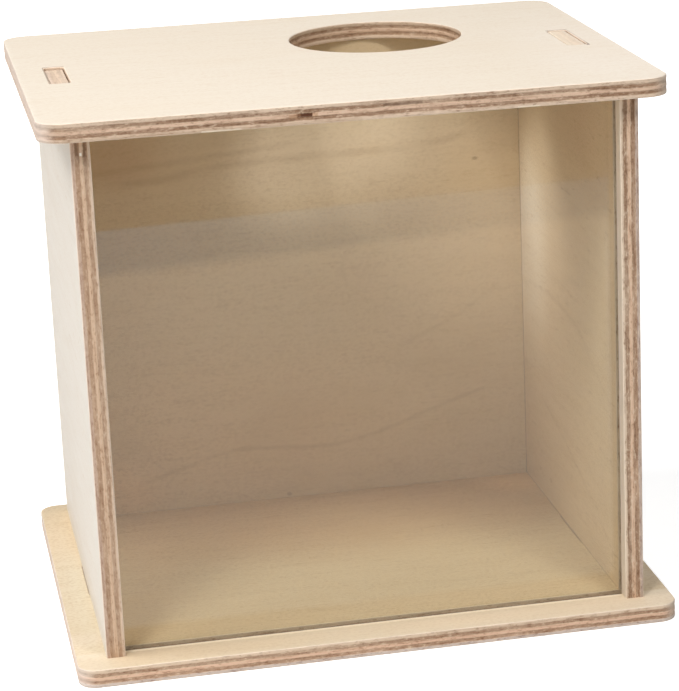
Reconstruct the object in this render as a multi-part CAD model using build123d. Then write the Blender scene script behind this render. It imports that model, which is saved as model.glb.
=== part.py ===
import os

from build123d import *

# Hamster sand bath house: a small plywood house with a base board, two side walls,
# a back wall, a lift-off lid with a round entrance, and a clear front window that
# slides down grooves. All lengths are millimetres, +Z is up and the front looks to -Y.
# The origin lies on the surface that the base rests on, midway between the side walls
# and midway along them, which is also the middle of the whole house seen from above.

# Base and lid boards
base_thickness = 6.0
lid_thickness = 6.0
base_corner_radius = 6.0
lid_corner_radius = 8.0
side_overhang = 9.5
base_front_overhang = 8.5
base_back_overhang = 5.5
lid_front_overhang = 5.5
lid_back_overhang = 8.5
edge_ease = 0.4

# Side walls
inside_width = 163.0
wall_thickness = 6.0
wall_depth = 141.0
wall_height = 166.0

# Tenons on the top and foot of each side wall, and the mortises that take them:
# easy in the lid, which lifts off, and snug in the base, which stays put
tenon_length = 28.0
tenon_corner_radius = 1.0
tenon_lead_in = 0.5
lid_mortise_clearance = 0.25
base_mortise_clearance = 0.1
left_top_recess = 0.8
right_top_recess = 0.2
foot_recess = 0.5

# Front window, loose in grooves in the side walls and the base
window_thickness = 2.0
window_setback = 6.9
window_corner_radius = 1.5
window_side_gap = 0.3
window_top_gap = 0.5
groove_depth = 2.5
groove_front_gap = 2.0
groove_back_gap = 0.1
base_groove_depth = 1.5

# Back wall, let into housings in the side walls
back_thickness = 6.0
back_setback = 5.5
back_top_gap = 0.2
housing_depth = 2.5
housing_gap = 0.1

# Round entrance in the lid
entrance_diameter = 58.0
entrance_right_of_middle = 25.0
entrance_before_back_wall = 1.0

# One overrun for every cut that passes right through a face
cut_overrun = 1.0

# Planes that several pieces share
wall_foot = base_thickness
wall_top = wall_foot + wall_height
wall_front = -wall_depth / 2
wall_back = wall_depth / 2
wall_inner_x = inside_width / 2
wall_outer_x = wall_inner_x + wall_thickness
wall_middle_x = wall_inner_x + wall_thickness / 2
window_front = wall_front + window_setback
window_back = window_front + window_thickness
groove_front = window_front - groove_front_gap
groove_back = window_back + groove_back_gap
back_rear = wall_back - back_setback
back_inner = back_rear - back_thickness
board_width = 2 * (wall_outer_x + side_overhang)


def board_middle(front_overhang, back_overhang):
    # Y of a board's own middle, where its mortises sit
    return (back_overhang - front_overhang) / 2


def rounded_board(front_overhang, back_overhang, thickness, corner_radius, floor):
    # A sawn board with round corners and sanded rims
    board_depth = wall_depth + front_overhang + back_overhang
    middle = board_middle(front_overhang, back_overhang)
    outline = RectangleRounded(board_width, board_depth, corner_radius)
    board = Pos(0, middle, floor) * extrude(outline, amount=thickness)
    rims = board.edges().group_by(Axis.Z)
    return fillet(rims[0] + rims[-1], edge_ease)


def mortises(middle, thickness, floor, clearance):
    # Two slots through a board, each a clearance larger than the tenon it takes
    slot = RectangleRounded(
        wall_thickness + 2 * clearance,
        tenon_length + 2 * clearance,
        tenon_corner_radius + clearance,
    )
    height = thickness + 2 * cut_overrun
    cutter = extrude(slot, amount=height)
    low = floor - cut_overrun
    return [Pos(side * wall_middle_x, middle, low) * cutter for side in (-1, 1)]


def tenon(recess, board_thickness):
    # A peg as thick as the wall, standing on Z zero, with its end chamfered to lead in
    outline = RectangleRounded(wall_thickness, tenon_length, tenon_corner_radius)
    peg = extrude(outline, amount=board_thickness - recess)
    return chamfer(peg.edges().group_by(Axis.Z)[-1], tenon_lead_in)


def window_groove_in_wall(side):
    # The upright groove near the front of a side wall, open at the top
    width = groove_back - groove_front
    cutter = Box(
        groove_depth + cut_overrun,
        width,
        wall_height + 2 * cut_overrun,
        align=(Align.MIN, Align.MIN, Align.MIN),
    )
    start = wall_inner_x - cut_overrun
    placed = Pos(start, groove_front, wall_foot - cut_overrun) * cutter
    return placed if side > 0 else mirror(placed, about=Plane.YZ)


def back_housing_in_wall(side):
    # The upright housing near the back of a side wall that holds the back wall's edge
    width = back_thickness + 2 * housing_gap
    cutter = Box(
        housing_depth + cut_overrun,
        width,
        wall_height + 2 * cut_overrun,
        align=(Align.MIN, Align.MIN, Align.MIN),
    )
    start = wall_inner_x - cut_overrun
    placed = Pos(start, back_inner - housing_gap, wall_foot - cut_overrun) * cutter
    return placed if side > 0 else mirror(placed, about=Plane.YZ)


def side_wall(side, top_recess):
    # One upright side wall with its top and foot tenons, window groove and housing
    face = Rectangle(wall_thickness, wall_depth)
    panel = Pos(side * wall_middle_x, 0, wall_foot) * extrude(face, amount=wall_height)
    panel = fillet(panel.edges().filter_by(Axis.Z), edge_ease)
    lid_middle = board_middle(lid_front_overhang, lid_back_overhang)
    base_middle = board_middle(base_front_overhang, base_back_overhang)
    top_tenon = Pos(side * wall_middle_x, lid_middle, wall_top) * tenon(top_recess, lid_thickness)
    foot_tenon = mirror(tenon(foot_recess, base_thickness), about=Plane.XY)
    foot_tenon = Pos(side * wall_middle_x, base_middle, wall_foot) * foot_tenon
    panel = panel - window_groove_in_wall(side) - back_housing_in_wall(side)
    return panel + top_tenon + foot_tenon


def base_board():
    board = rounded_board(
        base_front_overhang, base_back_overhang, base_thickness, base_corner_radius, 0
    )
    middle = board_middle(base_front_overhang, base_back_overhang)
    for slot in mortises(middle, base_thickness, 0, base_mortise_clearance):
        board = board - slot
    groove = Box(
        inside_width + 2 * groove_depth,
        groove_back - groove_front,
        base_groove_depth + cut_overrun,
        align=(Align.CENTER, Align.MIN, Align.MIN),
    )
    return board - Pos(0, groove_front, base_thickness - base_groove_depth) * groove


def entrance_cut():
    # The round entrance just in front of the back wall, right of the middle
    radius = entrance_diameter / 2
    centre_y = back_inner - entrance_before_back_wall - radius
    hole = extrude(Circle(radius), amount=lid_thickness + 2 * cut_overrun)
    return Pos(entrance_right_of_middle, centre_y, wall_top - cut_overrun) * hole


def lid_board():
    board = rounded_board(
        lid_front_overhang, lid_back_overhang, lid_thickness, lid_corner_radius, wall_top
    )
    middle = board_middle(lid_front_overhang, lid_back_overhang)
    for slot in mortises(middle, lid_thickness, wall_top, lid_mortise_clearance):
        board = board - slot
    return board - entrance_cut()


def back_wall():
    # A plain panel that stands on the base with both edges in the housings
    width = inside_width + 2 * (housing_depth - housing_gap)
    face = Rectangle(width, back_thickness, align=(Align.CENTER, Align.MIN))
    panel = extrude(face, amount=wall_height - back_top_gap)
    return Pos(0, back_inner, wall_foot) * panel


def front_window():
    # A clear sheet that stands in the base groove and reaches up to just under the lid
    width = inside_width + 2 * (groove_depth - window_side_gap)
    height = wall_height + base_groove_depth - window_top_gap
    outline = Plane.XZ * RectangleRounded(width, height, window_corner_radius)
    sheet = extrude(outline, amount=-window_thickness)
    middle_z = wall_foot - base_groove_depth + height / 2
    return Pos(0, window_front, middle_z) * sheet


def build():
    return {
        "base_board": base_board(),
        "left_side_wall": side_wall(-1, left_top_recess),
        "right_side_wall": side_wall(1, right_top_recess),
        "back_wall": back_wall(),
        "lid_board": lid_board(),
        "front_window": front_window(),
    }


os.makedirs("parts", exist_ok=True)
for name, solid in build().items():
    solid.label = name
    export_step(solid, f"parts/{name}.step")
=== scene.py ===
import math

import bmesh
import bpy
from mathutils import Matrix, Vector, noise


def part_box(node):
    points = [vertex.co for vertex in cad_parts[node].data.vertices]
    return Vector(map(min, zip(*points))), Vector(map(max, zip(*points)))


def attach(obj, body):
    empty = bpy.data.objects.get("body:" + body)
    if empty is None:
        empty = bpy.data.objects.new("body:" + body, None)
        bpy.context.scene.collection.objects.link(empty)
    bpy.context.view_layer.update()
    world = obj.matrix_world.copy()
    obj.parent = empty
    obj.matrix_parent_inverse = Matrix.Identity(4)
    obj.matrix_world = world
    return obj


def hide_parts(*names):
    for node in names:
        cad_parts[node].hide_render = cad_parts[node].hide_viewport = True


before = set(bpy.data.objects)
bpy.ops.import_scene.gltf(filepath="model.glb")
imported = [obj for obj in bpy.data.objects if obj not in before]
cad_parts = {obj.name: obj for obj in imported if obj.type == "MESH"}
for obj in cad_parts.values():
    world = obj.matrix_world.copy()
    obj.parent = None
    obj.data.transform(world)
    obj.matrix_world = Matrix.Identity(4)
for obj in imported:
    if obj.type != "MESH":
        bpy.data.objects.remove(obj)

mm = 0.001
quarter = math.pi / 2
flat = (0.0, 0.0, 0.0)
levelWithin = 1e-6  # metres within which two places count as level
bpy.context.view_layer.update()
scene = bpy.context.scene

# The whole house is cut from one five-layer sheet; shares of its thickness from the top or inner face
sheet = {
    "boardShares": (0.0, 0.21, 0.40, 0.59, 0.785, 1.0),
    "wallShares": (0.0, 0.15, 0.36, 0.56, 0.79, 1.0),
    "darkLayers": (1, 3),
    "sink": 0.07 * mm,  # how far the dark layers lie inside the edge
    "glueHalf": 0.05 * mm,
    "ease": 0.4 * mm,  # sanded rims
    "easeSteps": 3,
    "easeKept": 0.9,  # share of the sanded rim that the saw marks leave alone
    "edgeStep": 1.0 * mm,
    "rough": 0.05 * mm,
    "roughPerMetre": 420.0,
    "roughAcross": 3,  # how many times finer the saw marks are across the layers
    "roughLean": 0.5,  # saw marks go in more than out
    "roughSink": 0.4,
    "tornShare": 0.2,  # how uneven the floor of a torn place is
    "tornPerMetre": 900,
    "faceTilt": 0.8,  # a face that looks less squarely along the sheet's depth than this is an edge
    "flatTilt": 0.9995,
    "sharpDegrees": 40,
}


def layerRows(thickness, shares):
    # Depths through the sheet, each with how far it lies inside the sawn edge
    turns = [quarter * step / sheet["easeSteps"] for step in range(sheet["easeSteps"])]
    eased = [(sheet["ease"] * (1 - math.cos(turn)), sheet["ease"] * (1 - math.sin(turn))) for turn in turns]
    rows = eased + [(sheet["ease"], 0.0)]
    for layer in range(1, len(shares) - 1):
        height = shares[layer] * thickness
        for side, beside in ((-1, layer - 1), (1, layer)):
            sink = sheet["sink"] if beside in sheet["darkLayers"] else 0.0
            rows.append((height + side * sheet["glueHalf"], sink))
    rows.append((thickness - sheet["ease"], 0.0))
    return rows + [(thickness - height, inset) for height, inset in reversed(eased)]


def outOfRectangle(middle, half, radius):
    # Gives the direction out of a rounded rectangle at a point on its rim
    def direction(point):
        away = []
        for i in range(2):
            core = half[i] - radius
            offset = point[i] - middle[i]
            away.append(offset - max(-core, min(core, offset)))
        return Vector((*away, 0)).normalized()
    return direction


def bevel(bm, geom, offset, segments, affect="EDGES"):
    bmesh.ops.bevel(bm, geom=geom, offset=offset, segments=segments, profile=0.5, affect=affect, material=-1)


def meshFrom(bm, name):
    mesh = bpy.data.meshes.new(name)
    bm.to_mesh(mesh)
    bm.free()
    return mesh


def linked(name, data):
    # A new object in the scene
    thing = bpy.data.objects.new(name, data)
    scene.collection.objects.link(thing)
    return thing


def takeLines(bm, part):
    # Adds a loop that was made by itself to the board, and gives its edges
    mesh = meshFrom(part, "loop")
    first = len(bm.edges)
    bm.from_mesh(mesh)
    bpy.data.meshes.remove(mesh)
    bm.edges.ensure_lookup_table()
    return bm.edges[first:]


def roundedLoop(bm, middle, half, radius, cornerCuts, low, inset):
    # One closed line of edges round a rectangle with round corners
    part = bmesh.new()
    place = Matrix.Translation((middle[0], middle[1], low)) @ Matrix.Diagonal(
        (2 * (half[0] - inset), 2 * (half[1] - inset), 1, 1))
    bmesh.ops.create_grid(part, x_segments=1, y_segments=1, size=0.5, matrix=place)
    bevel(part, part.verts[:], radius - inset, cornerCuts, "VERTICES")
    for length in half[:2]:
        straight = 2 * (length - radius)
        cuts = int(straight / sheet["edgeStep"])
        edges = [e for e in part.edges if abs(e.calc_length() - straight) < levelWithin]
        if cuts and edges:
            bmesh.ops.subdivide_edges(part, edges=edges, cuts=cuts)
    bmesh.ops.dissolve_faces(part, faces=part.faces[:])
    bmesh.ops.delete(part, geom=part.faces[:], context="FACES_ONLY")
    return takeLines(bm, part)


def roundLoop(bm, hole, low, inset):
    # One closed line of edges round a hole
    part = bmesh.new()
    bmesh.ops.create_circle(part, cap_ends=False, radius=hole["radius"] + inset, segments=hole["segments"],
                            matrix=Matrix.Translation((*hole["middle"], low)))
    return takeLines(bm, part)


def vertsOf(made):
    return [g for g in made if isinstance(g, bmesh.types.BMVert)]


def raiseWall(bm, edges, rows, direction):
    # Draws a loop up through the rows of the sheet, in and out with its layers
    wall = list({v for e in edges for v in e.verts})
    for (low, lowInset), (high, highInset) in zip(rows, rows[1:]):
        made = bmesh.ops.extrude_edge_only(bm, edges=edges)["geom"]
        verts = vertsOf(made)
        fresh = set(verts)
        edges = [g for g in made if isinstance(g, bmesh.types.BMEdge) and fresh.issuperset(g.verts)]
        for v in verts:
            v.co += direction(v.co) * (lowInset - highInset)
            v.co.z += high - low
        wall += verts
    return edges, wall


def reaches(place, point):
    # Whether a torn place takes in a point
    return all(abs(point[i] - place["at"][i]) < place["half"][i] for i in range(3))


def ragged(verts, direction, low, high, torn):
    # Saw marks on the sawn edge, and gaps where a dark layer's veneer is missing
    kept = sheet["ease"] * sheet["easeKept"]
    for v in verts:
        if v.co.z < low + kept or v.co.z > high - kept:
            continue
        where = Vector((v.co.x, v.co.y, v.co.z * sheet["roughAcross"]))
        push = noise.noise(where * sheet["roughPerMetre"]) * sheet["rough"]
        push -= abs(push) * sheet["roughLean"] + sheet["rough"] * sheet["roughSink"]
        for place in torn:
            if reaches(place, v.co):
                uneven = sheet["tornShare"] * noise.noise(v.co * sheet["tornPerMetre"])
                push = -place["deep"] * (1 - sheet["tornShare"] + uneven)
        v.co += direction(v.co) * push


def middleAndHalf(low, high):
    # Where a board's faces have their middle, and half their size
    return (0, (low.y + high.y) / 2, 0), ((high.x - low.x) / 2, (high.y - low.y) / 2, 1.0)


def board(look, low, high, rounds=(), torn=()):
    # A rounded board with a slot for each side wall's tenon and any round holes right through it
    bm = bmesh.new()
    middle, half = middleAndHalf(low, high)
    rows = layerRows(high.z - low.z, [1 - share for share in reversed(sheet["boardShares"])])
    inset = rows[0][1]
    radius = look["cornerRadius"]
    loops = [(roundedLoop(bm, middle, half, radius, look["cornerCuts"], low.z, inset),
              outOfRectangle(middle, half, radius))]
    openings = []
    for side in (-1, 1):
        slot = ((side * look["slotX"], middle[1]), look["slotHalf"], look["slotRadius"])
        openings.append((roundedLoop(bm, *slot, look["slotCuts"], low.z, -inset), slot))
    for hole in rounds:
        circle = (hole["middle"], (hole["radius"], hole["radius"]), hole["radius"])
        openings.append((roundLoop(bm, hole, low.z, inset), circle))
    for edges, shape in openings:
        loops.append((edges, lambda point, away=outOfRectangle(*shape): -away(point)))
    lowEdges = [e for edges, outward in loops for e in edges]
    topEdges = []
    for edges, outward in loops:
        last, wall = raiseWall(bm, edges, rows, outward)
        topEdges += last
        ragged(wall, outward, low.z, high.z, torn)
    for rim in (lowEdges, topEdges):
        bmesh.ops.triangle_fill(bm, use_beauty=True, use_dissolve=False, edges=rim)
    bmesh.ops.recalc_face_normals(bm, faces=bm.faces[:])
    return bm


def newBox(low, high):
    bm = bmesh.new()
    place = Matrix.Translation((low + high) / 2) @ Matrix.Diagonal((*(high - low), 1))
    bmesh.ops.create_cube(bm, size=1.0, matrix=place)
    return bm


def cutWith(bm, low, high):
    # Takes a box out of a solid
    tool = newBox(low, high)
    pieces = []
    for name, source in (("cut", bm), ("tool", tool)):
        mesh = bpy.data.meshes.new(name)
        source.to_mesh(mesh)
        pieces.append(linked(name, mesh))
    tool.free()
    cut = pieces[0].modifiers.new("cut", "BOOLEAN")
    cut.operation = "DIFFERENCE"
    cut.solver = "EXACT"
    cut.object = pieces[1]
    shaped = pieces[0].evaluated_get(bpy.context.evaluated_depsgraph_get())
    bm.clear()
    bm.from_mesh(shaped.to_mesh())
    shaped.to_mesh_clear()
    for piece in pieces:
        mesh = piece.data
        bpy.data.objects.remove(piece)
        bpy.data.meshes.remove(mesh)


def finished(bm, name, finishes, across, body, node):
    # Finishes: of the face that looks up, right or back, of the one opposite, and of the edges
    bmesh.ops.recalc_face_normals(bm, faces=bm.faces[:])
    for f in bm.faces:
        facing = 0 if f.normal[across] > 0 else 1
        f.material_index = 2 if abs(f.normal[across]) < sheet["faceTilt"] else facing
    bend = [max(abs(part) for part in f.normal) < sheet["flatTilt"] for f in bm.faces]
    mesh = meshFrom(bm, name)
    mesh.set_sharp_from_angle(angle=math.radians(sheet["sharpDegrees"]))
    mesh.polygons.foreach_set("use_smooth", bend)
    for finish in finishes:
        mesh.materials.append(finish)
    piece = linked(name, mesh)
    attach(piece, body)
    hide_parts(node)
    print(name, "faces", len(mesh.polygons))


# Shader helpers. A helper that is given sockets adds its node to their tree
def addNode(tree, kind, **settings):
    node = tree.nodes.new("ShaderNode" + kind)
    for key, value in settings.items():
        setattr(node, key, value)
    return node


def plug(socket, value):
    if isinstance(value, bpy.types.NodeSocket):
        socket.id_data.links.new(value, socket)
    else:
        socket.default_value = value


def fill(node, values):
    for label, value in values.items():
        plug(node.inputs[label], value)


def worked(kind, values, **settings):
    # A node that takes the values in its first inputs
    tree = next(value.id_data for value in values if isinstance(value, bpy.types.NodeSocket))
    node = addNode(tree, kind, **settings)
    for socket, value in zip(node.inputs, values):
        plug(socket, value)
    return node


def math2(operation, a, b=0.0, clamp=False):
    return worked("Math", (a, b), operation=operation, use_clamp=clamp).outputs[0]


def times(a, b, clamp=False):
    return math2("MULTIPLY", a, b, clamp)


def plus(a, b, clamp=False):
    return math2("ADD", a, b, clamp)


def minus(a, b):
    return math2("SUBTRACT", a, b)


def larger(a, b):
    return math2("MAXIMUM", a, b)


def smaller(a, b):
    return math2("MINIMUM", a, b)


def swing(value, reach, middle=0.5):
    # A pattern swung round its middle
    return times(minus(value, middle), reach)


def vector2(operation, a, b=flat):
    node = worked("VectorMath", (a, b), operation=operation)
    return node.outputs["Value" if operation == "LENGTH" else "Vector"]


def split(vector):
    return worked("SeparateXYZ", (vector,)).outputs


def farFrom(place, at, squash):
    # How far a point on a face is from a place on it, with each way on its own scale
    away = vector2("SUBTRACT", place, (*at, 0.0))
    return vector2("LENGTH", vector2("MULTIPLY", away, (*squash, 0.0)))


def spread(value, fromLow, fromHigh, toLow=0.0, toHigh=1.0):
    values = (value, fromLow, fromHigh, toLow, toHigh)
    return worked("MapRange", values, interpolation_type="SMOOTHSTEP").outputs[0]


def blend(share, a, b, how="MIX"):
    node = worked("Mix", (share,), data_type="RGBA", blend_type=how)
    plug(node.inputs[6], a)
    plug(node.inputs[7], b)
    return node.outputs[2]


def speckle(place, scale, detail=2.0, rough=0.5, stretch=None, within=None, result="Fac"):
    # A noise pattern, drawn out in the ways where stretch is below 1
    node = worked("TexNoise", (vector2("MULTIPLY", place, stretch) if stretch else place,))
    fill(node, {"Scale": scale, "Detail": detail, "Roughness": rough})
    return spread(node.outputs[result], *within) if within else node.outputs[result]


def newGroup(name, inputs, outputs):
    # A shader group whose inputs and outputs are named by their kinds
    tree = bpy.data.node_groups.new(name, "ShaderNodeTree")
    for sockets, way in ((inputs, "INPUT"), (outputs, "OUTPUT")):
        for kind, labels in sockets.items():
            for label in labels:
                tree.interface.new_socket(label, in_out=way, socket_type="NodeSocket" + kind)
    return tree, tree.nodes.new("NodeGroupInput").outputs, tree.nodes.new("NodeGroupOutput")


def useGroup(group, place, values):
    # The inputs after the place take the values of the same name
    node = worked("Group", (place,), node_tree=group)
    fill(node, {socket.name: values[socket.name] for socket in node.inputs[1:]})
    return node.outputs


# Pale rotary-cut veneer: fine fibres, soft growth rings, blotches and pores. X runs along the grain.
# A noise pattern is given as its scale, detail, roughness and stretch, and the range it is spread over
veneer = {
    "fibre": (900, 3, 0.6, (0.05, 1.0, 0.4)),
    "silk": (260, 2, 0.5, (0.12, 1.0, 0.6)),
    "fine": (1300, 2, 0.6, (0.6, 1.0, 0.8)),
    "lift": (7, 1, 0.4, (1.0, 1.6, 1.0)),
    "gaps": (30, 2, 0.5, (0.5, 1.0, 1.0), (0.35, 0.6)),
    "blotch": (22, 3, 0.55, (0.6, 1.0, 0.6), (0.45, 0.75)),
    "haze": (9, 1, 0.5, None, (0.35, 0.65)),
    "pore": (620, 1, 0.4, (0.22, 1.0, 1.0), (0.66, 0.8)),
    "fibreShare": 0.9,
    "fineShare": 2.6,
    "silkShare": 0.5,
    "grainLift": 0.12,
    "liftReach": (0.0, 0.09, 0.0),
    "ringStretch": (0.15, 1.0, 0.2),
    "ring": {"Scale": 14, "Distortion": 3.5, "Detail": 2.0, "Detail Scale": 2.2},
    "ringPower": 14.0,
    "hazeShare": 0.5,
    "fibreHeight": 0.7,
    "poreDepth": 0.6,
    "roughness": 0.52,
    "silkRoughness": 0.2,
}


def veneerGroup():
    tree, given, result = newGroup("veneerFace", {
        "Vector": ["place"], "Color": ["pale", "dark", "warm"],
        "Float": ["lines", "blotches", "pores", "rings"],
    }, {"Color": ["Color"], "Float": ["Grain", "Height", "Roughness"]})
    place = given["place"]
    fibre, silk, fine, lift, gaps, blotch, haze, pore = (
        speckle(place, *veneer[pattern])
        for pattern in ("fibre", "silk", "fine", "lift", "gaps", "blotch", "haze", "pore"))
    bent = vector2("ADD", place, vector2("MULTIPLY", veneer["liftReach"], lift))
    year = worked("TexWave", (vector2("MULTIPLY", bent, veneer["ringStretch"]),),
                  wave_type="BANDS", bands_direction="Y", wave_profile="SIN")
    fill(year, veneer["ring"])
    ring = times(math2("POWER", year.outputs["Fac"], veneer["ringPower"]), gaps)
    grain = plus(swing(fibre, veneer["fibreShare"]), swing(fine, veneer["fineShare"]))
    grain = plus(grain, swing(silk, veneer["silkShare"]))
    shade = times(plus(grain, veneer["grainLift"]), given["lines"])
    shade = plus(shade, times(ring, given["rings"]), clamp=True)
    tone = blend(shade, given["pale"], given["dark"])
    tone = blend(times(blotch, given["blotches"], clamp=True), tone, given["warm"])
    cloud = times(haze, times(given["blotches"], veneer["hazeShare"]))
    tone = blend(cloud, tone, given["warm"])
    tone = blend(times(pore, given["pores"]), tone, given["dark"])
    height = minus(times(fibre, veneer["fibreHeight"]), times(pore, veneer["poreDepth"]))
    roughness = plus(veneer["roughness"], times(silk, veneer["silkRoughness"]))
    fill(result, {"Color": tone, "Grain": shade, "Height": height, "Roughness": roughness})
    return tree


# The sawn edge: five layers along Z, with long fibres in the pale ones and cut ends in the brown ones
sawn = {
    "sway": (60, 2, 0.5, (1.0, 1.0, 0.2)),
    "fray": (420, 2, 0.6, (1.0, 1.0, 0.6)),
    "long": (1150, 2, 0.6, (0.06, 0.06, 1.0)),
    "cells": (1150, 3, 0.7, (0.4, 0.4, 1.2)),
    "ticks": (1000, 1, 0.5, (0.8, 0.8, 0.5), (0.3, 0.62, 0.85, 1.0)),
    "cloud": (110, 2, 0.5, (0.5, 0.5, 2.0), (0.25, 0.62, 0.55, 1.0)),
    "fleck": (1200, 2, 0.6, (0.6, 0.7, 1.3), (0.74, 0.82, 0.0, 0.4)),
    "swayShare": 1.5,
    "frayShare": 0.6,
    "soft": 0.035,  # share of the thickness on either side over which one layer turns into the next
    "longDark": (0.46, 0.72),
    "longDarkShares": (0.42, 0.24),  # in the pale layers and in the brown ones
    "cellsDark": (0.5, 0.72),
    "cellsDarkShares": (0.6, 0.7),
    "longLight": (0.46, 0.28, 0.0, 0.25),
    "cellsLight": (0.47, 0.3, 0.0, 0.75),
    "rimRange": (0.44, 0.49, 0.0, 0.85),
    "brownSink": 0.3,
    "roughness": 0.62,
    "brownRoughness": 0.15,
}


def layersGroup(name, shares):
    tree, given, result = newGroup(name, {
        "Vector": ["place"], "Color": ["near", "brown", "core", "far", "rim"],
        "Float": ["depth", "wobble", "streaks", "contrast"],
    }, {"Color": ["Color"], "Float": ["Height", "Roughness"]})
    sway, fray, long, cells, ticks, cloud, fleck = (
        speckle(given["place"], *sawn[pattern])
        for pattern in ("sway", "fray", "long", "cells", "ticks", "cloud", "fleck"))
    push = plus(swing(sway, sawn["swayShare"]), swing(fray, sawn["frayShare"]))
    depth = plus(given["depth"], times(push, given["wobble"]))

    def past(layer, *toRange):
        return spread(depth, shares[layer] - sawn["soft"], shares[layer] + sawn["soft"], *toRange)

    brown = larger(*(times(past(layer), past(layer + 1, 1.0, 0.0)) for layer in sheet["darkLayers"]))
    pale = blend(past(2), given["near"], given["core"])
    pale = blend(past(4), pale, given["far"])
    share = times(times(brown, given["contrast"]), cloud)
    tone = blend(times(share, ticks), pale, given["brown"])
    longDark, cellsDark = (
        times(spread(pattern, *sawn[dark]), spread(brown, 0.0, 1.0, *sawn[dark + "Shares"]))
        for pattern, dark in ((long, "longDark"), (cells, "cellsDark")))
    dark = times(plus(longDark, cellsDark), given["streaks"], clamp=True)
    tone = blend(dark, tone, given["brown"], "MULTIPLY")
    light = plus(spread(cells, *sawn["cellsLight"]), spread(long, *sawn["longLight"]))
    tone = blend(times(light, given["streaks"], clamp=True), tone, given["near"])
    tone = blend(fleck, tone, given["rim"])
    fromMiddle = math2("ABSOLUTE", minus(given["depth"], 0.5))
    tone = blend(spread(fromMiddle, *sawn["rimRange"]), tone, given["rim"])
    height = minus(plus(times(long, 0.5), times(cells, 0.5)), times(brown, sawn["brownSink"]))
    roughness = plus(sawn["roughness"], times(brown, sawn["brownRoughness"]))
    fill(result, {"Color": tone, "Height": height, "Roughness": roughness})
    return tree


wear = {"patch": (130, 3, 0.6), "patchMiddle": 0.45}


def rimGroup():
    # How worn a flat face is near its rim: 1 at the rim, 0 further in than the width
    tree, given, result = newGroup("rimWear", {"Vector": ["place", "half"], "Float": ["wearWidth"]},
                                   {"Float": ["Mask"]})
    away = split(vector2("SUBTRACT", given["half"], vector2("ABSOLUTE", given["place"])))
    patchy = swing(speckle(given["place"], *wear["patch"]), given["wearWidth"], wear["patchMiddle"])
    near = plus(smaller(away["X"], away["Y"]), patchy)
    fill(result, {"Mask": spread(math2("DIVIDE", near, given["wearWidth"]), 0.0, 1.0, 1.0, 0.0)})
    return tree


veneerFace = veneerGroup()
sawnBoards = layersGroup("sawnBoards", sheet["boardShares"])
sawnWalls = layersGroup("sawnWalls", sheet["wallShares"])
rimWear = rimGroup()
print("shader groups ready")


def srgb(red, green, blue):
    # A colour as a picture editor gives it, 0 to 255, as the shaders' linear light
    parts = [c / 255 for c in (red, green, blue)]
    return tuple([c / 12.92 if c <= 0.04045 else ((c + 0.055) / 1.055) ** 2.4 for c in parts] + [1.0])


def lengths(values):
    return tuple(value * mm for value in values)


# Places on a piece, typed in millimetres. On a face they are measured from its middle
def spot(at, half, soft, tone, share, deep=0.0):
    # A box of another tone, whose outline is ragged over the soft length: stains and torn places, and also
    # painted shade and painted highlights
    return {"at": lengths(at), "half": lengths(half), "soft": soft * mm, "tone": srgb(*tone), "share": share,
            "deep": deep * mm}


def tint(at, half, tone):
    # An oval of painted light and shade on a face: the wood's colour is multiplied by a tone, above 1 for
    # painted light and below 1 for painted shade
    return {"at": lengths(at), "half": lengths(half), "tone": (*tone, 1)}


def knot(at, squash, size, depth):
    return {"at": lengths(at), "squash": squash, "size": size * mm, "depth": depth}


def growth(points, width, waver, share):
    # A dark growth line through points on a face
    return {"points": [lengths(point) for point in points], "width": width * mm, "waver": waver * mm,
            "share": share}


def newMaterial(name):
    material = bpy.data.materials.new(name)
    material.use_nodes = True
    tree = material.node_tree
    tree.nodes.clear()
    output = addNode(tree, "OutputMaterial")
    shader = addNode(tree, "BsdfPrincipled")
    plug(output.inputs["Surface"], shader.outputs[0])
    return material, tree, shader


def mixIn(output, share, first, second):
    # Shows the second shader in place of the first where share is 1
    mix = worked("MixShader", (share, first.outputs[0], second.outputs[0]))
    plug(output.inputs["Surface"], mix.outputs[0])


def placed(tree, middle, turn, seed=0.0):
    # Object coordinates centred on the piece and turned so that the grain runs along X
    mapping = worked("Mapping", (addNode(tree, "TexCoord").outputs["Object"],), vector_type="TEXTURE")
    fill(mapping, {"Location": middle, "Rotation": turn})
    if not seed:
        return mapping.outputs[0]
    return vector2("ADD", mapping.outputs[0], (seed, seed * 0.7, seed * 0.3))


growthLook = {
    "waver": (90, 2, 0.5),
    "gaps": (55, 2, 0.5, None, (0.3, 0.6, 0.35, 1.0)),
    "startRange": (-0.02, 0.08),
    "endRange": (0.92, 1.02, 1.0, 0.0),
}


def growthLine(centred, line):
    # One dark growth line drawn through points on the face, fading towards its ends
    points = sorted(line["points"])
    start = points[0][0]
    length = points[-1][0] - start
    low = min(point[1] for point in points)
    tall = max(point[1] for point in points) - low
    parts = split(centred)
    along = math2("DIVIDE", minus(parts["X"], start), length)
    curve = worked("FloatCurve", (1.0, along))
    knots = curve.mapping.curves[0].points
    places = [((x - start) / length, (y - low) / tall) for x, y in points]
    for x, y in places[1:-1]:
        knots.new(x, y)
    knots[0].location = places[0]
    knots[-1].location = places[-1]
    curve.mapping.update()
    height = plus(times(curve.outputs[0], tall), low)
    waver = swing(speckle(centred, *growthLook["waver"]), line["waver"])
    away = math2("ABSOLUTE", plus(minus(parts["Y"], height), waver))
    mask = spread(away, 0.0, line["width"], line["share"], 0.0)
    mask = times(mask, spread(along, *growthLook["startRange"]))
    mask = times(mask, spread(along, *growthLook["endRange"]))
    return times(mask, speckle(centred, *growthLook["gaps"]))


outlineStray = {"scale": 1100, "reach": 3}


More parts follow.
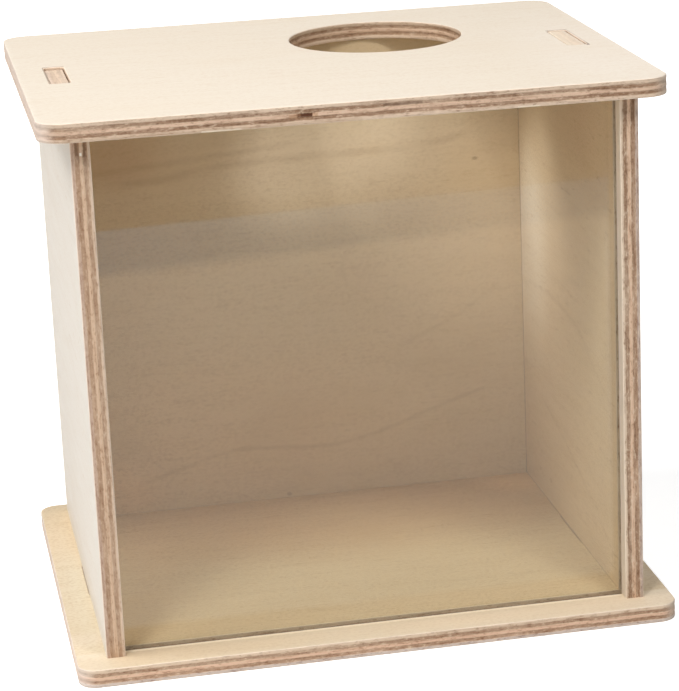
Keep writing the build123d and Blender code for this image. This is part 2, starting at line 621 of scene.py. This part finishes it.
def insideBox(place, middle, half, soft):
    # 1 inside a box with a ragged outline, fading to 0 just outside it
    stray = vector2("SUBTRACT", speckle(place, outlineStray["scale"], result="Color"), (0.5, 0.5, 0.5))
    place = vector2("ADD", place, vector2("MULTIPLY", stray, (outlineStray["reach"] * soft,) * 3))
    away = vector2("ABSOLUTE", vector2("SUBTRACT", place, middle))
    parts = split(vector2("SUBTRACT", half, away))
    depth = smaller(smaller(parts["X"], parts["Y"]), parts["Z"])
    return spread(depth, -soft, soft)


def spotted(place, tone, spots):
    for one in spots:
        inside = insideBox(place, one["at"], one["half"], one["soft"])
        tone = blend(times(inside, one["share"]), tone, one["tone"])
    return tone


def plugWood(shader, look, tone, roughness, height):
    bump = addNode(shader.id_data, "Bump")
    fill(bump, {"Strength": look["bump"], "Distance": look["bumpHeight"], "Height": height})
    fill(shader, {"Base Color": tone, "Roughness": roughness, "Specular IOR Level": look["shine"],
                  "Normal": bump.outputs[0]})


def faceWood(name, look, middle, turn, half, spots=()):
    # Finish of a board's flat faces; half is half the face's size along and across the grain
    material, tree, shader = newMaterial(name)
    centred = placed(tree, middle, turn)
    wood = useGroup(veneerFace, placed(tree, middle, turn, look["seed"]), look)
    worn = useGroup(rimWear, centred, dict(look, half=half))["Mask"]
    tone = wood["Color"]
    for one in look.get("knots", ()):
        far = farFrom(centred, one["at"], (one["squash"], 1.0))
        near = spread(far, one["size"] * look["knotCore"], one["size"], one["depth"], 0.0)
        tone = blend(near, tone, look["knot"])
    for line in look.get("growthLines", ()):
        tone = blend(growthLine(centred, line), tone, look["dark"])
    rubbed = times(spread(wood["Grain"], *look["rubbedRange"]), look["wear"])
    tone = blend(times(worn, rubbed), tone, look["worn"])
    if "frontTone" in look:
        front = spread(split(centred)[look["frontAxis"]], look["frontFrom"] - look["frontSoft"],
                       look["frontFrom"] + look["frontSoft"], look["frontShare"], 0.0)
        tone = blend(front, tone, look["frontTone"])
    # Painted light and shade: ovals that brighten the colour where light falls on the face and darken it
    # where shade lies
    for patch in look.get("paintedLightAndShade", ()):
        far = farFrom(centred, patch["at"], [1 / length for length in patch["half"]])
        tone = blend(spread(far, *look["paintedLightAndShadeRange"]), tone, patch["tone"], "MULTIPLY")
    tone = spotted(centred, tone, spots)
    roughness = minus(wood["Roughness"], times(worn, look["wearGloss"]))
    plugWood(shader, look, tone, roughness, wood["Height"])
    return material


def edgeWood(name, look, group, start, axis, thickness, turn, spots=()):
    # Finish of a board's sawn edges, layered along one axis from start, with another tone beyond paleFrom
    material, tree, shader = newMaterial(name)
    where = addNode(tree, "TexCoord").outputs["Object"]
    parts = split(where)
    depth = math2("DIVIDE", minus(parts[axis], start), thickness)
    far = math2("ABSOLUTE", parts[look["paleAxis"]])
    tip = spread(far, look["paleFrom"], look["paleTo"])
    contrast = spread(tip, 0.0, 1.0, 1.0, look["paleShare"])
    place = placed(tree, flat, turn, look["seed"])
    layers = useGroup(group, place, dict(look, depth=depth, contrast=contrast))
    # Painted shade: the right-hand ends take a darker tone, as they turn away from the lamps
    right = spread(parts["X"], -look["tipSoft"], look["tipSoft"])
    tipTone = blend(right, look["tip"], look["shadedRightTip"])
    tone = blend(times(tip, look["tipShare"]), layers["Color"], tipTone)
    tone = spotted(where, tone, spots)
    plugWood(shader, look, tone, layers["Roughness"], layers["Height"])
    return material


faceLook = {
    "pale": srgb(238, 226, 208),
    "dark": srgb(196, 165, 128),
    "warm": srgb(233, 214, 190),
    "worn": srgb(244, 231, 214),
    "knotCore": 0.3,
    "lines": 0.3,
    "rings": 0.12,
    "blotches": 0.4,
    "pores": 0.25,
    "wear": 0.35,
    "wearWidth": 2.5 * mm,
    "wearGloss": 0.12,
    "rubbedRange": (0.0, 0.2, 1.0, 0.3),  # wear lies on the pale wood more than in the grain
    "frontSoft": 1 * mm,
    "paintedLightAndShadeRange": (0.4, 1.5, 1.0, 0.0),
    "shine": 0.35,
    "bump": 0.35,
    "bumpHeight": 0.06 * mm,
}
edgeLook = {
    "near": srgb(217, 193, 169),
    "brown": srgb(150, 118, 92),
    "core": srgb(217, 185, 159),
    "far": srgb(216, 191, 167),
    "rim": srgb(246, 230, 212),
    "tip": srgb(226, 212, 202),
    # painted shade: the right-hand end, turned away from the lamps, is darker and greyer
    "shadedRightTip": srgb(170, 160, 150),
    "tipSoft": 1 * mm,
    "tipShare": 0.5,
    "wobble": 0.08,
    "streaks": 0.9,
    "paleAxis": "X",
    "paleFrom": 91 * mm,
    "paleTo": 96.5 * mm,
    "paleShare": 0.35,
    "shine": 0.25,
    "bump": 0.5,
    "bumpHeight": 0.1 * mm,
}
# Faces inside the house take a darker, warmer copy of the veneer, as painted shade and painted warm bounced
# light
shadedInsideLook = dict(faceLook, pale=srgb(230, 207, 174), warm=srgb(217, 190, 149), dark=srgb(172, 137, 91),
                  rings=0.04)

# Lid: lifts off the wall tenons
lid = {
    "cornerRadius": 8 * mm,
    "cornerCuts": 12,
    "slotHalf": (3.25 * mm, 14.25 * mm),
    "slotX": 84.5 * mm,
    "slotRadius": 1.25 * mm,
    "slotCuts": 4,
    "entrance": {"middle": (25 * mm, 29 * mm), "radius": 29 * mm, "segments": 184},
    # Where the veneer is missing the edge is pushed in, and its dark tones are painted shade in the hollow
    "missingVeneerAndShade": [
        spot((-17.5, -76, 174.95), (2.2, 1.5, 0.66), 0.3, (118, 78, 50), 0.85, deep=0.4),
        spot((-17.0, -76, 174.95), (1.7, 1.5, 0.46), 0.22, (76, 40, 20), 0.9, deep=0.1),
    ],
    "edgeSpots": [
        spot((-45, -76, 172.5), (45, 1, 0.6), 0.3, (178, 148, 118), 0.3),
        spot((12.5, -76, 176.2), (6, 1, 0.35), 0.2, (110, 90, 74), 0.5),
        spot((-17.8, -76, 174.9), (4.2, 1, 0.6), 0.4, (172, 130, 92), 0.5),
        spot((25, 29, 175), (31, 31, 4), 0.5, (150, 120, 90), 0.25),  # the entrance is browner all round
        spot((-42.8, -76, 172.15), (6, 1, 0.3), 0.12, (240, 226, 204), 0.8),
        spot((51.4, -76, 172.15), (3.5, 1, 0.35), 0.12, (240, 226, 204), 0.8),
    ],
    # Painted shadow darkens the slot rims, where the gap round each tenon lies in shade
    "faceSpots": [  # dark rims of the slots, and a nick beside the right one
        spot((-87.95, 0, 178), (0.28, 14.4, 0.4), 0.12, (150, 118, 92), 0.6),
        spot((-84.5, 14.45, 178), (3.5, 0.4, 0.4), 0.12, (140, 108, 84), 0.75),
        spot((84.5, 14.5, 178), (3.5, 0.5, 0.4), 0.15, (126, 98, 82), 0.7),
        spot((87.95, 0, 178), (0.28, 14.4, 0.4), 0.15, (130, 102, 86), 0.5),
        spot((87.6, -11.8, 178), (0.5, 3.9, 0.6), 0.12, (120, 92, 74), 0.8),
    ],
    "face": dict(faceLook, pale=srgb(228, 216, 199), warm=srgb(224, 207, 184), worn=srgb(234, 223, 207),
                 seed=0.3, lines=0.28, rings=0.02, blotches=0.25, pores=0.2,
                 # painted light: the right end of the lid's top is lighter and cooler
                 paintedLightAndShade=[tint((88, -20), (22, 60), (1.03, 1.04, 1.07))]),
    "underside": dict(shadedInsideLook, seed=0.6),
    "edge": dict(edgeLook, seed=0.9),
}


def makeLid():
    low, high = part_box("lid_board")
    middle, half = middleAndHalf(low, high)
    bm = board(lid, low, high, [lid["entrance"]], lid["missingVeneerAndShade"])
    face = faceWood("lidFace", lid["face"], middle, flat, half, lid["faceSpots"])
    underside = faceWood("lidUnderside", lid["underside"], middle, flat, half)
    edge = edgeWood("lidEdge", lid["edge"], sawnBoards, high.z, "Z", low.z - high.z, flat,
                    lid["edgeSpots"] + lid["missingVeneerAndShade"])
    finished(bm, "lid_panel", (face, underside, edge), 2, "lid", "lid_board")


makeLid()

# Grooves that the window slides in
groove = {
    "front": -65.6 * mm,
    "back": -61.5 * mm,
    "inBase": 1.5 * mm,
    "inWall": 2.5 * mm,
    "baseHalf": 84.0 * mm,
}

# Base: the same board turned round, with a groove under the window
base = {
    "cornerRadius": 6 * mm,
    "cornerCuts": 10,
    "slotHalf": (3.1 * mm, 14.1 * mm),
    "slotX": 84.5 * mm,
    "slotRadius": 1.1 * mm,
    "slotCuts": 4,
    "cutAbove": 1 * mm,
    "faceSpots": [  # the groove, its rear side, the lip before it and a dark line
        # Painted shade in the groove, whose floor lies in a brown layer; painted light on its rear side; a
        # painted highlight on the lip before it, and a painted shadow line
        spot((0, -62.05, 4.5), (84, 2.05, 0.55), 0.1, (88, 56, 34), 0.95),
        spot((0, -60, 5.65), (84, 0.3, 0.55), 0.1, (246, 230, 204), 0.9),
        spot((0, -65, 6), (81.5, 0.8, 0.3), 0.3, (246, 230, 204), 0.95),
        spot((0, -64.2, 6), (81.5, 0.3, 0.3), 0.1, (88, 56, 34), 0.7),
    ],
    "face": dict(faceLook, pale=srgb(218, 197, 163), warm=srgb(209, 183, 141), dark=srgb(173, 139, 97),
                 worn=srgb(221, 203, 174), seed=1.3, lines=0.5, rings=0.05, blotches=0.35, pores=0.2,
                 wear=0.6, wearWidth=16 * mm, frontAxis="Y", frontFrom=-64.1 * mm, frontShare=0.35,
                 frontTone=srgb(236, 226, 209), paintedLightAndShade=[
        # painted light and shade: warm bounced light at the back of the floor, a bright patch in the back
        # right corner, lighter stretches on the left and along the front, cooler light on the left rim, and a
        # darker front left corner
        tint((0, 42), (90, 40), (1.09, 1.0, 0.93)),
        tint((-70, -5), (16, 52), (1.09, 1.08, 1.08)),
        tint((0, -53), (100, 9), (1.05, 1.05, 1.12)),
        tint((75, -72), (60, 8), (1.11, 1.09, 1.09)),
        tint((0, -72), (40, 8), (1.06, 1.05, 1.04)),
        tint((-95, -20), (10, 70), (1.02, 1.06, 1.13)),
        tint((-87.5, -5), (6, 75), (1.01, 1.05, 1.09)),
        tint((-80, -72), (50, 8), (1.0, 0.95, 0.89)),
        tint((78, 58), (16, 16), (1.22, 1.20, 1.16)),
    ]),
    "edge": dict(edgeLook, near=srgb(222, 198, 172), brown=srgb(166, 132, 105), core=srgb(225, 189, 161),
                 # the bottom layer's greyer tone is partly painted shade near the table
                 far=srgb(212, 196, 184), seed=2.1),
}


def makeBase():
    low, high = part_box("base_board")
    middle, half = middleAndHalf(low, high)
    bm = board(base, low, high)
    cutWith(bm, Vector((-groove["baseHalf"], groove["front"], high.z - groove["inBase"])),
            Vector((groove["baseHalf"], groove["back"], high.z + base["cutAbove"])))
    face = faceWood("baseFace", base["face"], middle, flat, half, base["faceSpots"])
    edge = edgeWood("baseEdge", base["edge"], sawnBoards, high.z, "Z", low.z - high.z, flat)
    finished(bm, "base_panel", (face, face, edge), 2, "house", "base_board")


makeBase()

# Side walls: each stands on a tenon in the base and carries the lid on a tenon
wall = {
    "footZ": 6 * mm,
    "topZ": 172 * mm,
    "tenonHalf": 14 * mm,
    "tenonRadius": 1.0 * mm,
    "tenonCuts": 4,
    "tenonLead": 0.5 * mm,
    "leadCuts": 2,
    "housingFront": 58.9 * mm,
    "housingBack": 65.1 * mm,
    "rowStep": 2.0 * mm,
    "rough": 0.06 * mm,
    "endShare": 0.6,  # how much of the sanded rim counts as the wall's end
    "outside": dict(faceLook, pale=srgb(228, 220, 209), warm=srgb(221, 208, 192), worn=srgb(240, 229, 214),
                    lines=0.2, rings=0.06, blotches=0.3, pores=0.15),
    # Before the window the wall's inner face is paler
    "inside": dict(shadedInsideLook, wear=0.05, lines=0.3, blotches=0.35, pores=0.25, frontAxis="X",
                   frontFrom=-64.2 * mm, frontShare=0.85, frontTone=srgb(229, 216, 198)),
    "insideSeed": 0.5,  # how far the inner veneer's seed is from the outer one's
    "edge": dict(edgeLook, paleAxis="Z", paleFrom=172.0 * mm, paleTo=172.3 * mm, paleShare=0.5,
                 # the right tenon's end is a little darker, painted shade
                 tip=srgb(247, 232, 213), shadedRightTip=srgb(240, 225, 204), tipShare=0.6),
    # Painted shade in the window groove, darker than the pale core layer it cuts into
    "grooveShadeSpots": {side: spot((-63.55, 0, side * 2.5), (2.05, 166, 1.85), 0.05, (100, 60, 36), 0.95)
                    for side in (-1, 1)},
    # Painted shade along the wall's foot, where it meets the base
    "footCreaseShade": spot((0, -83, 0), (59, 0.35, 0.5), 0.12, (120, 90, 62), 0.3),
}


def wallSection(inner, outward, front, back, thickness):
    # The wall from above: layered ends, and on the inside the window groove and the back wall's housing
    rows = layerRows(thickness, sheet["wallShares"])
    points = [(inner + outward * deep, front + inset) for deep, inset in rows]
    points += [(inner + outward * deep, back - inset) for deep, inset in reversed(rows)]
    for start, end in ((wall["housingBack"], wall["housingFront"]), (groove["back"], groove["front"])):
        for y, deep in ((start, 0), (start, groove["inWall"]), (end, groove["inWall"]), (end, 0)):
            points.append((inner + outward * deep, y))
    return points


def endFaces(bm, level):
    return [f for f in bm.faces if abs(f.normal.z) > sheet["flatTilt"]
            and abs(f.calc_center_median().z - level) < levelWithin]


def growTenon(bm, level, rise, middleY):
    # Raises the stretch of the wall's end round middleY into a tenon
    for y in (middleY - wall["tenonHalf"], middleY + wall["tenonHalf"]):
        end = endFaces(bm, level)
        geom = end + list({e for f in end for e in f.edges}) + list({v for f in end for v in f.verts})
        bmesh.ops.bisect_plane(bm, geom=geom, plane_co=(0, y, 0), plane_no=(0, 1, 0))
    root = [f for f in endFaces(bm, level) if abs(f.calc_center_median().y - middleY) < wall["tenonHalf"] / 2]
    made = bmesh.ops.extrude_face_region(bm, geom=root, use_keep_orig=True)["geom"]
    bmesh.ops.delete(bm, geom=root, context="FACES_ONLY")
    tip = vertsOf(made)
    bmesh.ops.translate(bm, verts=tip, vec=(0, 0, rise))
    tipSet = set(tip)
    corners = [e for v in tip for e in v.link_edges if abs(e.verts[0].co.z - e.verts[1].co.z) > abs(rise) / 2
               and e.other_vert(v) not in tipSet]
    bevel(bm, corners, wall["tenonRadius"], wall["tenonCuts"])
    rim = [e for e in bm.edges if all(abs(v.co.z - level - rise) < levelWithin for v in e.verts)
           and any(abs(f.normal.z) < 0.5 for f in e.link_faces)]
    bevel(bm, rim, wall["tenonLead"], wall["leadCuts"])


def roughen(bm, low, high, torn):
    # Saw marks and torn places on the wall's upright ends
    end = sheet["ease"] * wall["endShare"]
    for v in bm.verts:
        atFront = v.co.y < low.y + end
        if not atFront and v.co.y <= high.y - end:
            continue
        where = Vector((v.co.x * sheet["roughAcross"], v.co.y, v.co.z))
        push = (0.5 + 0.5 * noise.noise(where * sheet["roughPerMetre"])) * wall["rough"]
        push += sum(place["deep"] for place in torn if reaches(place, v.co))
        v.co.y += push if atFront else -push


def wallBody(look, inner, low, high):
    bm = bmesh.new()
    tall = wall["topZ"] - wall["footZ"]
    section = wallSection(inner, look["side"], low.y, high.y, high.x - low.x)
    outline = bm.faces.new([bm.verts.new((x, y, wall["footZ"])) for x, y in section])
    made = bmesh.ops.extrude_face_region(bm, geom=[outline], use_keep_orig=True)["geom"]
    bmesh.ops.translate(bm, verts=vertsOf(made), vec=(0, 0, tall))
    bmesh.ops.recalc_face_normals(bm, faces=bm.faces[:])
    for node, level, tip in (("lid_board", wall["topZ"], high.z), ("base_board", wall["footZ"], low.z)):
        growTenon(bm, level, tip - level, middleAndHalf(*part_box(node))[0][1])
    for row in range(1, int(tall / wall["rowStep"])):
        bmesh.ops.bisect_plane(bm, geom=bm.faces[:] + bm.edges[:] + bm.verts[:],
                               plane_co=(0, 0, wall["footZ"] + row * wall["rowStep"]), plane_no=(0, 0, 1))
    roughen(bm, low, high, look["spots"])
    return bm


def makeWall(name, look):
    side = look["side"]
    low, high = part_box(look["node"])
    inner = low.x if side > 0 else high.x
    bm = wallBody(look, inner, low, high)
    middle = (inner, 0, (wall["footZ"] + wall["topZ"]) / 2)
    half = (high.y, (wall["topZ"] - wall["footZ"]) / 2, 1.0)
    turn = (quarter, 0, quarter)
    outside = faceWood(name + "Outside", dict(wall["outside"], seed=look["seed"]), middle, turn, half)
    veneerInside = dict(wall["inside"], seed=look["seed"] + wall["insideSeed"], **look["inside"])
    inside = faceWood(name + "Inside", veneerInside, middle, turn, half,
                      [wall["grooveShadeSpots"][side], wall["footCreaseShade"]])
    layers = dict(wall["edge"], seed=look["seed"], **look["edge"])
    edge = edgeWood(name + "Edge", layers, sawnWalls, inner, "X", side * (high.x - low.x), (0, quarter, 0),
                    look["spots"])
    finishes = (outside, inside, edge) if side > 0 else (inside, outside, edge)
    finished(bm, look["piece"], finishes, 0, "house", look["node"])


def frontTearAndShade(x, z, halfX, halfZ, soft, share, deep=0.0, tone=(104, 74, 50)):
    # A spot at the top of a wall's front edge: brown where the veneer is torn, and painted shadow where the
    # lid's overhang shades it
    return spot((x, -70.5, z), (halfX, 0.6, halfZ), soft, tone, share, deep)


leftWall = {
    "side": -1,
    "node": "left_side_wall",
    "piece": "left_wall_panel",
    "seed": 3.7,
    "inside": {},
    "edge": dict(near=srgb(214, 190, 166), brown=srgb(173, 141, 114), core=srgb(212, 182, 154),
                 far=srgb(198, 170, 150), tipShare=0.3, paleShare=0.75),
    "spots": [
        # torn hollows with painted shade in them, painted shadow under the lid's overhang fading downwards,
        # and a pale chip
        frontTearAndShade(-83.2, 169.6, 0.4, 3.0, 0.35, 0.55, deep=0.25),
        frontTearAndShade(-83.3, 168.6, 0.5, 5.2, 0.5, 0.35),
        frontTearAndShade(-83.3, 165.6, 0.4, 9.0, 0.6, 0.2),
        frontTearAndShade(-85.6, 169.6, 0.5, 2.6, 0.4, 0.6, deep=0.25),
        frontTearAndShade(-85.5, 169.4, 0.5, 3.6, 0.6, 0.3),
        frontTearAndShade(-84.4, 167.3, 0.3, 0.5, 0.15, 0.95, tone=(252, 244, 232)),  # a pale chip
    ],
}
rightWall = {
    "side": 1,
    "node": "right_side_wall",
    "piece": "right_wall_panel",
    "seed": 4.9,
    "inside": {
        "growthLines": [
            growth([(51.5, -7.4), (-3.0, -4.8), (-34.7, -14.6), (-59.0, -23.0)], 1.5, 1.2, 0.13),
            growth([(36.2, -45.5), (-16.2, -58.1), (-55.6, -72.6)], 1.4, 1.2, 0.11),
        ],
        "paintedLightAndShade": [
            # painted light where light through the entrance falls on the back half of the wall, and painted
            # shade just behind the window and under the lid towards the front
            tint((42, 50), (26, 30), (1.16, 1.22, 1.30)),
            tint((50, 4), (24, 34), (1.17, 1.28, 1.50)),
            tint((-60, 0), (8, 84), (0.96, 0.97, 1.07)),
            tint((-38, 62), (34, 20), (0.92, 0.87, 0.82)),
        ],
    },
    "edge": dict(near=srgb(220, 198, 174), brown=srgb(156, 124, 98), core=srgb(216, 184, 156),
                 far=srgb(192, 172, 158), tipShare=0.62),
    "spots": [
        # dark streaks, and painted shadow under the lid's overhang at the top of the front edge
        frontTearAndShade(83.3, 169.5, 0.5, 3.4, 0.25, 0.45),
        frontTearAndShade(85.6, 168.5, 0.5, 4.6, 0.25, 0.4),
    ],
}
makeWall("leftWall", leftWall)
makeWall("rightWall", rightWall)

# Back wall: a plain panel held in the side walls' housings
back = {
    "ease": 0.12 * mm,
    "inside": dict(shadedInsideLook, seed=6.2, wear=0.0, lines=0.33, rings=0.03, blotches=0.5, pores=0.12,
                   growthLines=[
        growth([(-66, 37.8), (-47.5, 39.1), (-21.6, 42.3), (9.4, 43), (38.2, 43.5), (64.9, 48.6)],
               2.4, 1.5, 0.26),
        growth([(-80, 42), (-65.3, 43), (-33.1, 45.4), (2.5, 48.2)], 2.0, 1.5, 0.2),
        growth([(-64.2, -73.1), (-43.2, -67), (-27.3, -63), (-13.8, -63.2), (9.3, -64.2), (29.6, -60.1),
                (47, -54.2), (72.4, -46.4)], 1.4, 0.7, 0.2),
        growth([(32.9, -30), (53.2, -21.7), (73.3, -8.5)], 1.8, 1.0, 0.1),
    ], knot=srgb(138, 100, 66), knots=[
        knot((65.1, 37.5), 0.6, 0.9, 0.45),
        knot((-7.6, -81.6), 0.8, 1.1, 0.28),
    ], paintedLightAndShade=[
        # painted light where light through the entrance falls on the wall, across its middle and at its lower
        # left, and painted shade under the lid and at the upper left
        tint((10, 41), (58, 19), (1.13, 1.17, 1.28)),
        tint((25, 78), (45, 13), (0.80, 0.78, 0.74)),
        tint((-66, 50), (18, 12), (0.93, 0.85, 0.76)),
        tint((-18, 2), (45, 34), (1.04, 1.05, 1.05)),
        tint((-25, -55), (60, 28), (1.07, 1.05, 1.03)),
        tint((-72, -76), (16, 12), (1.10, 1.05, 1.0)),
    ]),
    # Painted shadow in the gaps where the back wall meets the side walls
    "cornerGapShade": [spot((side * 81.6, 0, 0), (0.25, 90, 0.5), 0.15, (126, 96, 68), 0.45) for side in (-1, 1)],
    "outside": dict(faceLook, seed=6.8),
    "edge": dict(edgeLook, seed=7.1),
}


def makeBackWall():
    low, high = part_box("back_wall")
    size = high - low
    bm = newBox(low, high)
    bevel(bm, bm.edges[:], back["ease"], 1)
    middle = (0, low.y, (low.z + high.z) / 2)
    half = (size.x / 2, size.z / 2, 1.0)
    turn = (quarter, 0, 0)
    inside = faceWood("backInside", back["inside"], middle, turn, half, back["cornerGapShade"])
    outside = faceWood("backOutside", back["outside"], middle, turn, half)
    edge = edgeWood("backEdge", back["edge"], sawnBoards, low.y, "Y", size.y, turn)
    finished(bm, "back_panel", (outside, inside, edge), 1, "house", "back_wall")


makeBackWall()

# Front window: a clear sheet, loose in its grooves
window = {
    "cornerRadius": 1.5 * mm,
    "cornerCuts": 4,
    "rim": 0.15 * mm,
    "rimCuts": 2,
    "tint": srgb(250, 251, 247),
    "bend": 1.49,
    "smear": 0.02,
    "wipe": (40, 3, 0.6, (1.0, 0.3, 0.25)),
    "dust": (1400, 1, 0.3, None, (0.72, 0.8, 0.0, 0.01)),
}


def smudgeGroup():
    # Faint wipe marks and dust on a polished sheet
    inputs = {"Vector": ["place"], "Float": ["smear"]}
    tree, given, result = newGroup("wipeMarks", inputs, {"Float": ["Roughness"]})
    wipe, dust = (speckle(given["place"], *window[pattern]) for pattern in ("wipe", "dust"))
    fill(result, {"Roughness": plus(times(wipe, given["smear"]), dust)})
    return tree


wipeMarks = smudgeGroup()


def clearMaterial():
    material, tree, shader = newMaterial("clearSheet")
    marks = useGroup(wipeMarks, placed(tree, flat, flat), window)
    fill(shader, {"Base Color": window["tint"], "IOR": window["bend"], "Transmission Weight": 1.0,
                  "Roughness": marks["Roughness"]})
    clear = addNode(tree, "BsdfTransparent")
    fill(clear, {"Color": window["tint"]})
    path = addNode(tree, "LightPath").outputs
    unseen = larger(path["Is Shadow Ray"], path["Is Diffuse Ray"])
    mixIn(tree.get_output_node("ALL"), unseen, shader, clear)
    return material


def makeWindow():
    low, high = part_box("front_window")
    bm = newBox(low, high)
    corners = [e for e in bm.edges if abs(e.verts[0].co.y - e.verts[1].co.y) > levelWithin]
    bevel(bm, corners, window["cornerRadius"], window["cornerCuts"])
    rims = [e for e in bm.edges if abs(e.verts[0].co.y - e.verts[1].co.y) < levelWithin]
    bevel(bm, rims, window["rim"], window["rimCuts"])
    finished(bm, "clear_window", (clearMaterial(),) * 3, 1, "window", "front_window")


makeWindow()
print("house pieces ready")

# Studio: a pale table with its front edge well before the house, and soft lamps. Lengths are in metres
studio = {
    "tableFront": -0.634,
    "tableAskew": -0.092,  # how far the front edge runs off as one goes right
    "tableShade": -0.546,  # before this line the table glows blue-grey for glossy rays only, a painted reflection that the window mirrors as a darker band
    "shadeAskew": -0.13,
    "shadeSoft": 0.012,
    "tableBack": 2.2,
    "tableSide": 2.0,
    "tableColour": (0.82, 0.82, 0.82, 1),
    "tableRoughness": 0.9,
    "tableLift": 0.655,
    "reflectedLift": 0.36,
    # the table's warm glow in glossy rays is a painted reflection tint on the window
    "reflectedTone": (1.0, 0.98, 0.88, 1),
    "tableFar": (0.2, 0.7),  # where the far table turns into plain white backdrop
    "aroundFrom": 0.3,
    "paintedReflectionGlow": (0.46, 0.76, 1.05, 1),
    "paintedReflectionGlowRight": (0.48, 0.66, 0.84, 1),
    "shadeAcross": (-0.05, 0.25),
    "ambient": 0.345,  # of the sky at the horizon; it fades to nothing overhead, where the lamps hang
    "horizonSoft": 0.02,
    "white": (1, 1, 1, 1),
    "mirroredSky": (0.8, 0.8, 0.8, 1),
    "mirroredBelow": (0.02, 0.02, 0.02, 1),
    "lamps": [  # name, the way from the house, size and watts
        ("leftTopLamp", (-1.0, 0.0, 1.4), 0.6, 12.0),
        ("frontLeftTopLamp", (-0.3, -0.5, 1.0), 0.2, 5.0),
        ("frontLeftLamp", (-0.55, -0.68, 1.0), 0.3, 3.2),
        ("frontLamp", (0.25, -0.7, 1.0), 0.25, 3.9),
        ("frontRightLamp", (0.45, -0.8, 1.0), 0.2, 3.2),
        ("lowLeftLamp", (-0.7, -0.7, 0.35), 0.6, 2.7),
    ],
    "lampDistance": 1.5,
    "aim": (0.0, 0.0, 0.09),
}


def tableMaterial():
    # A pale table that also serves as white backdrop, for the camera and in the window
    material, tree, shader = newMaterial("tableTop")
    where = addNode(tree, "TexCoord").outputs["Object"]
    parts = split(where)
    path = addNode(tree, "LightPath").outputs
    mirrored = path["Is Glossy Ray"]
    close = spread(mirrored, 0.0, 1.0, studio["tableLift"], studio["reflectedLift"])
    near, far = studio["tableFar"]
    direct = spread(vector2("LENGTH", where), studio["aroundFrom"], far)
    direct = times(direct, minus(1.0, mirrored))
    behind = larger(spread(parts["Y"], near, far), direct)
    lift = plus(close, times(behind, minus(1.0, close)))
    seen = larger(larger(path["Is Camera Ray"], mirrored), path["Is Transmission Ray"])
    fill(shader, {
        "Base Color": studio["tableColour"],
        "Roughness": studio["tableRoughness"],
        "Specular IOR Level": 0.0,
        "Emission Color": blend(mirrored, studio["white"], studio["reflectedTone"]),
        "Emission Strength": times(seen, lift),
    })
    # Painted reflection: for glossy rays only, the table before the shade line glows blue-grey, and the
    # window mirrors it as a darker band
    shade = addNode(tree, "Emission")
    across = spread(parts["X"], *studio["shadeAcross"])
    fill(shade, {"Color": blend(across, studio["paintedReflectionGlow"], studio["paintedReflectionGlowRight"])})
    straight = minus(parts["Y"], times(parts["X"], studio["shadeAskew"]))
    dark = spread(straight, studio["tableShade"] - studio["shadeSoft"],
                  studio["tableShade"] + studio["shadeSoft"], 1.0, 0.0)
    mixIn(tree.get_output_node("ALL"), times(dark, mirrored), shader, shade)
    return material


def makeTable():
    bm = bmesh.new()
    middleY = (studio["tableBack"] + studio["tableFront"]) / 2
    size = (2 * studio["tableSide"], studio["tableBack"] - studio["tableFront"], 1, 1)
    bmesh.ops.create_grid(bm, x_segments=1, y_segments=1, size=0.5,
                          matrix=Matrix.Translation((0, middleY, 0)) @ Matrix.Diagonal(size))
    for v in bm.verts:
        if v.co.y < 0:
            v.co.y += studio["tableAskew"] * v.co.x
    mesh = meshFrom(bm, "table")
    mesh.materials.append(tableMaterial())
    linked("table", mesh)


def makeSky():
    # Soft light from all round, white to the camera and through the window
    world = bpy.data.worlds.new("studio")
    scene.world = world
    world.use_nodes = True
    tree = world.node_tree
    tree.nodes.clear()
    output = addNode(tree, "OutputWorld")
    path = addNode(tree, "LightPath").outputs
    mirrored = path["Is Glossy Ray"]
    up = split(addNode(tree, "TexCoord").outputs["Generated"])["Z"]
    above = spread(up, -studio["horizonSoft"], studio["horizonSoft"])
    below = times(mirrored, minus(1.0, above))
    soft = addNode(tree, "Background")
    low = minus(1.0, larger(up, 0.0))
    fill(soft, {"Strength": times(low, studio["ambient"]),
                "Color": blend(below, studio["white"], studio["mirroredBelow"])})
    white = addNode(tree, "Background")
    fill(white, {"Color": blend(mirrored, studio["white"], studio["mirroredSky"])})
    seen = larger(path["Is Camera Ray"], path["Is Transmission Ray"])
    mixIn(output, larger(seen, times(mirrored, above)), soft, white)


def makeLamps():
    for name, way, size, watts in studio["lamps"]:
        data = bpy.data.lights.new(name, "AREA")
        data.shape = "SQUARE"
        data.size = size
        data.energy = watts
        holder = linked(name, data)
        towards = Vector(way).normalized()
        holder.location = Vector(studio["aim"]) + towards * studio["lampDistance"]
        holder.rotation_euler = towards.to_track_quat("Z", "Y").to_euler()


# Camera: where the photograph was taken from
view = {
    "place": (-0.14488, -0.84873, 0.33753),
    "turn": -11.248,
    "tilt": -16.716,
    "roll": -2.165,
    "focalPixels": 2672.4,
    "centrePixel": (400.2, 344.8),
    "picture": (679, 691),
    "sensor": 36.0,
    "clip": (0.01, 20),
}


def makeCamera():
    data = bpy.data.cameras.new("camera")
    data.sensor_width = view["sensor"]
    wide, tall = view["picture"]
    centreX, centreY = view["centrePixel"]
    data.lens = view["focalPixels"] / tall * view["sensor"]
    data.shift_x = (wide / 2 - centreX) / tall
    data.shift_y = (centreY - tall / 2) / tall
    data.clip_start, data.clip_end = view["clip"]
    yaw, tilt, roll = (math.radians(view[key]) for key in ("turn", "tilt", "roll"))
    holder = linked("camera", data)
    holder.matrix_world = Matrix.Translation(view["place"])
    for angle, axis in ((yaw, "Z"), (quarter + tilt, "X"), (roll, "Z")):
        holder.matrix_world = holder.matrix_world @ Matrix.Rotation(angle, 4, axis)
    scene.camera = holder


makeTable()
makeSky()
makeLamps()
makeCamera()
scene.view_settings.view_transform = "Standard"
print("studio ready")
